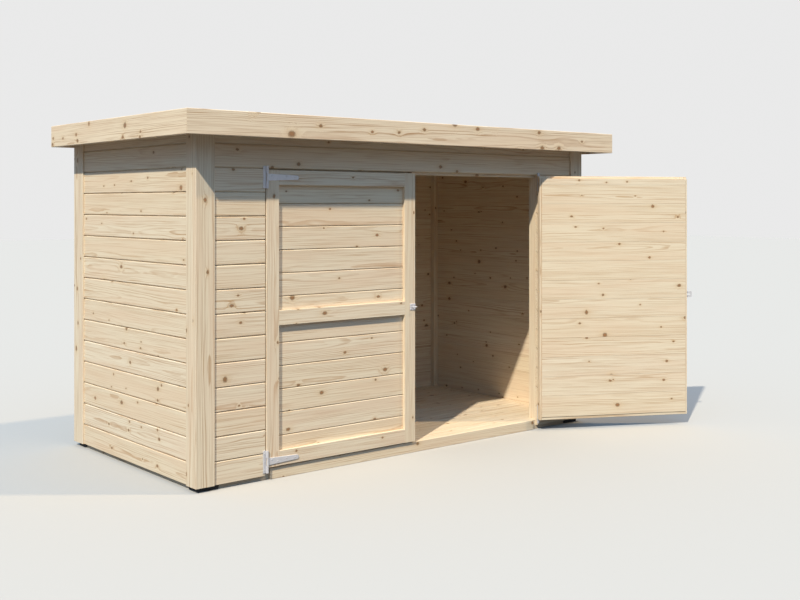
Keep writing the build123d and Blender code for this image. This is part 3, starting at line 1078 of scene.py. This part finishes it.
plate_bend = (
    (0, 0), (steel, 0), (steel, wall_axis_out - 0.0013), (0.0016, wall_axis_out + 0.0015),
    (-0.0006, wall_axis_out + 0.0033), (-0.0035, wall_axis_out + 0.0039),
    (-0.0035, wall_axis_out - 0.0039), (0, 0.0036),
)
plate_outline = plate_rim((0, plate_width), (-plate_half, plate_half))
plate_start = hinge_x + barrel_radius - plate_tuck
shape = bmesh.new()
for hand in (-1, 1):
    for level in hinge_levels:
        place = lay((hand * plate_start, -board_y, level), (hand, 0, 0), front)
        pressed(shape, place, plate_outline, 0, steel)
        axis = place @ Matrix.Translation((hinge_x - plate_start, 0, wall_axis_out))
        knuckles(shape, place, axis, plate_bend, knuckle_half, plate_half)
        riveted_pin(shape, axis, plate_half)
        for rise in plate_screws:
            screw(shape, place, plate_screw_in, rise, steel, 0.4 + 30 * rise)
piece_of("hinge_wall_plates", finished(shape), zinc, "hinge_plates")

for side, hand in (("left", -1), ("right", 1)):
    shape = bmesh.new()
    for level in hinge_levels:
        place = lay((hand * hinge_x, -frame_face, level), (-hand, 0, 0), front)
        place = place if side == "left" else swing @ place
        pressed(shape, place, strap_rim, 0, steel, edge=strap_edge)
        axis = place @ Matrix.Translation((0, 0, axis_out))
        barrel(shape, axis, -knuckle_half, knuckle_half)
        for reach, rise in strap_screws:
            screw(shape, place, reach, rise, steel, 20 * reach)
    name, node = f"{side}_hinge_strap_irons", f"{side}_hinge_straps"
    piece_of(name, finished(shape), zinc, node, f"{side}_door")


# Staple, hasp base and hasp leaf
# A padlock eye of bent rod stands out of a small plate on the left leaf. The slotted leaf of the
# hasp turns on its own pin at the edge of the right leaf and closes over the eye.
latch_steel = 0.002
latch_level = joints["hasp_hinge"]["pos_m"][2]
staple_low, staple_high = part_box("left_door_staple")
staple_width = staple_high[0] - staple_low[0]
staple_half = (staple_high[2] - staple_low[2]) / 2
staple_corner = 0.002
eye_radius = 0.009
eye_rod = 0.002
eye_middle = 0.011
rod_foot = 0.0005
eye_crown = -staple_low[1] - frame_face - eye_radius - eye_rod
staple_screw_in = 0.0055
staple_screw_rise = 0.009

course = [(eye_middle - eye_radius, rod_foot, 90)]
for a in [math.radians(15 * step) for step in range(13)]:
    u, out = eye_middle - eye_radius * math.cos(a), eye_crown + eye_radius * math.sin(a)
    course.append((u, out, 90 - math.degrees(a)))
course.append((eye_middle + eye_radius, rod_foot, -90))

shape = bmesh.new()
place = lay((staple_high[0], -frame_face, latch_level), left, front)
staple_outline = plate_rim((0, staple_width), (-staple_half, staple_half), staple_corner)
pressed(shape, place, staple_outline, 0, latch_steel)
loops = []
for u, out, heading in course:
    across = math.radians(heading - 90)
    loops.append(points_of(shape, place, [
        (u + aside * math.cos(across), upward, out + aside * math.sin(across))
        for aside, upward in circle(eye_rod, 10)
    ]))
walls(shape, loops)
shape.faces.new(loops[0])
shape.faces.new(loops[-1])
for u in (staple_screw_in, staple_width - staple_screw_in):
    for rise in (-staple_screw_rise, staple_screw_rise):
        screw(shape, place, u, rise, latch_steel, 60 * u + 9 * rise)
staple_mesh = finished(shape)
piece_of("padlock_staple", staple_mesh, zinc, "left_door_staple", "left_door")

hasp_axis = 0.017
hasp_half = 0.015
hasp_reach = 0.053
hasp_knuckle = hasp_half / 3
hasp_start = barrel_radius + 0.00075
hasp_end = 0.034
hasp_corner = 0.003
hasp_pin_head = 0.0005
hasp_screw_reach = 0.024
hasp_screw_rise = 0.0085
hasp_bend = (
    (0, 0.0007), (hasp_start + 0.0004, 0), (hasp_start + 0.0004, latch_steel),
    (0.0034, 0.0064), (0, 0.0083),
)
place = swing @ lay((hasp_axis, -frame_face, latch_level), right, front)
axis = place @ Matrix.Translation((0, 0, axis_out))
shape = bmesh.new()
hasp_outline = plate_rim((hasp_start, hasp_end), (-hasp_half, hasp_half), hasp_corner)
pressed(shape, place, hasp_outline, 0, latch_steel)
knuckles(shape, place, axis, hasp_bend, hasp_knuckle, hasp_half)
riveted_pin(shape, axis, hasp_half, hasp_pin_head)
for rise in (-hasp_screw_rise, hasp_screw_rise):
    screw(shape, place, hasp_screw_reach, rise, latch_steel, 90 * rise)
piece_of("hasp_base_plate", finished(shape), zinc, "right_hasp_base", "right_door")

leaf_half = 0.00125
slot_start, slot_end, slot_half, slot_corner = -0.0465, -0.0195, 0.0045, 0.002
hasp_leaf_corner = 0.004
tongue_start, tongue_end = -hasp_start - 0.0006, -0.001
tongue = (
    (tongue_start, -leaf_half), (tongue_end, -leaf_half),
    (tongue_end, leaf_half), (tongue_start, leaf_half),
)
slot = plate_rim((slot_start, slot_end), (-slot_half, slot_half), slot_corner)
leaf_outline = plate_rim((-hasp_reach, -hasp_start), (-hasp_half, hasp_half), hasp_leaf_corner)
shape = bmesh.new()
pressed(shape, axis, leaf_outline, -leaf_half, leaf_half, slot)
rolled(shape, axis, tongue, -hasp_knuckle, hasp_knuckle)
barrel(shape, axis, -hasp_knuckle, hasp_knuckle)
piece_of("hasp_slotted_leaf", finished(shape), zinc, "right_hasp_leaf", "hasp_leaf")


# Studio
# A pale floor under a sky that is blue above and dim near the ground, a warm sun from the front
# left and a weak warm fill from the front right. Floor and sky look pale in the picture alone:
# on the shelter they throw as little light as paving and hedges do.
def in_picture(start):
    """1 where the camera sees a surface, also by metal or glass, and 0 for its light."""
    path = start.node("ShaderNodeLightPath", output="Is Camera Ray")
    seen = path.maths("MAXIMUM", path, path.other("Is Glossy Ray"))
    return path.maths("MAXIMUM", seen, path.other("Is Transmission Ray"))


reach = 30
floor_corners = [(-reach, -reach, 0), (reach, -reach, 0), (reach, reach, 0), (-reach, reach, 0)]
floor_mesh = bpy.data.meshes.new("studio_floor")
floor_mesh.from_pydata(floor_corners, [], [(0, 1, 2, 3)])
studio_floor = placed("studio_floor", floor_mesh)
floor_material, floor_shader, floor_start = new_material("studio_floor")
floor_colour = in_picture(floor_start).blend((0.085, 0.08, 0.075), (0.485, 0.475, 0.46))
floor_start.feed(floor_shader.inputs["Base Color"], floor_colour)
floor_shader.inputs["Roughness"].default_value = 0.9
floor_shader.inputs["Specular IOR Level"].default_value = 0.0
floor_mesh.materials.append(floor_material)

world = bpy.data.worlds.new("studio_sky")
world.use_nodes = True
bpy.context.scene.world = world
sky = Shade(world.node_tree)
background = world.node_tree.nodes["Background"]
heading = sky.node("ShaderNodeTexCoord", output="Generated")
upward = sky.node("ShaderNodeSeparateXYZ", inputs={0: heading}, output=2)
dome = upward.eased(0.0, 0.65).blend((0.07, 0.085, 0.10), (0.42, 0.67, 1.0))
sky.feed(background.inputs["Color"], in_picture(sky).blend(dome, (0.82, 0.82, 0.82)))
background.inputs["Strength"].default_value = 1.0


def lamp(name, strength, softness, colour, travel):
    """A distant lamp whose light travels in a given direction."""
    data = bpy.data.lights.new(name, "SUN")
    data.energy = strength
    data.angle = math.radians(softness)
    data.color = colour
    placed(name, data).rotation_euler = Vector(travel).to_track_quat("-Z", "Y").to_euler()


lamp("key_sun", 4.1, 1.1, (1.0, 0.92, 0.76), (0.828, 0.489, -1.0))
lamp("front_fill", 1.4, 2.5, (1.0, 0.75, 0.43), (-0.6, 0.489, -1.0))

camera_data = bpy.data.cameras.new("camera")
camera_data.lens = 49.39
camera_data.sensor_width = 36
camera_data.shift_y = -0.1198
camera = placed("camera", camera_data)
camera.location = (-3.267, -4.3895, 1.1360)
camera.rotation_euler = (math.radians(90), 0, math.radians(-39.74))
bpy.context.scene.camera = camera
bpy.context.scene.view_settings.view_transform = "Standard"
